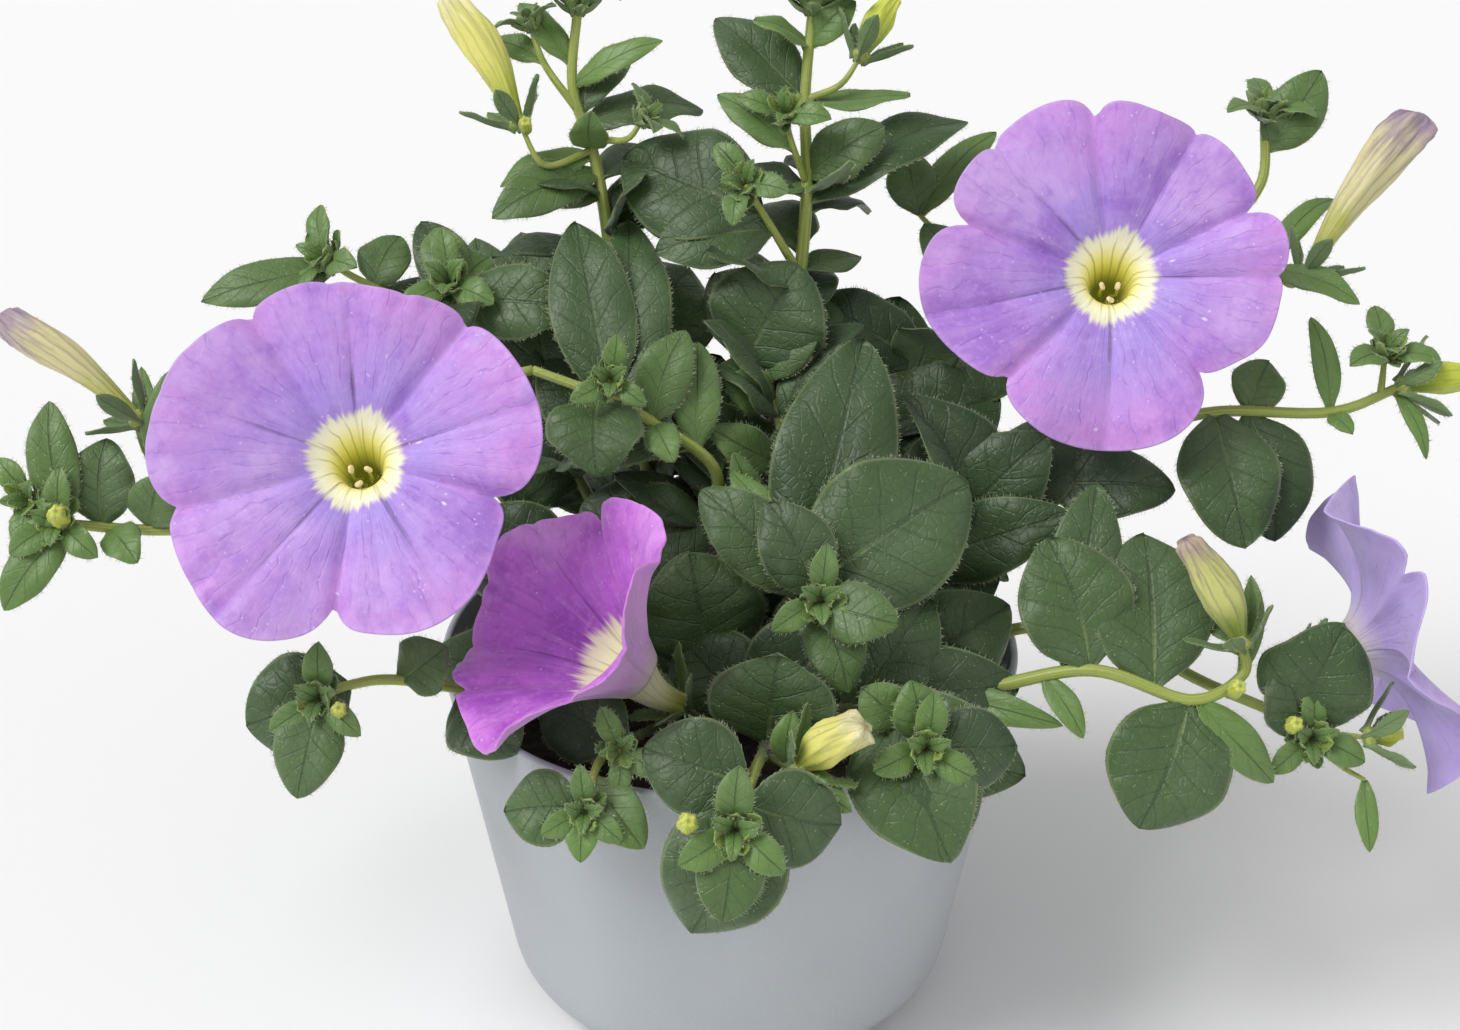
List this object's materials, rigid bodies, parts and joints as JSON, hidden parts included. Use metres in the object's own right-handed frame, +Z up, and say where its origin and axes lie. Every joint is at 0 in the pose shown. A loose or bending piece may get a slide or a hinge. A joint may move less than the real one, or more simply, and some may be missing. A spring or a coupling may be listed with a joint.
{
  "type": "potted petunia",
  "caption": "Potted petunia with spreading leafy shoots, open lavender trumpet blooms, fading blooms and buds, in a light grey tapered plastic pot filled with soil.",
  "frame": {"origin": "centre of the pot's flat underside, on the surface it stands on", "axes": "+Z up along the pot's axis, +X to the right along the plant's widest spread, -Y towards the viewer in front"},
  "size_m": [0.2894, 0.1649, 0.1964],
  "materials": {
    "pot": "matte",
    "soil": "matte",
    "foliage": "matte",
    "petal": "matte",
    "stamen": "matte",
    "closed_bloom": "matte"
  },
  "bodies": {
    "root": {"pot": "pot", "soil": "soil", "shoot_back_centre": "foliage", "shoot_back_left": "foliage", "shoot_upper_left": "foliage", "shoot_left_centre": "foliage", "shoot_centre": "foliage", "shoot_centre_right": "foliage", "shoot_front_mid": "foliage", "shoot_front": "foliage", "shoot_front_left": "foliage", "shoot_front_right": "foliage", "shoot_left_low": "foliage", "shoot_left": "foliage", "shoot_right_front": "foliage", "shoot_right_low": "foliage", "shoot_right": "foliage", "shoot_right_back": "foliage", "shoot_rear_left": "foliage", "shoot_rear": "foliage", "shoot_rear_right": "foliage", "bloom_left": "petal", "bloom_right": "petal", "bloom_folded": "petal", "bloom_side": "petal", "stamens_left": "stamen", "stamens_right": "stamen", "faded_bloom_left": "closed_bloom", "faded_bloom_back_left": "closed_bloom", "faded_bloom_right": "closed_bloom", "faded_bloom_front_right": "closed_bloom", "faded_bloom_front": "closed_bloom", "closed_bloom_far_right": "closed_bloom", "bud_back_centre": "closed_bloom", "bud_right_low": "closed_bloom"}
  },
  "joints": []
}
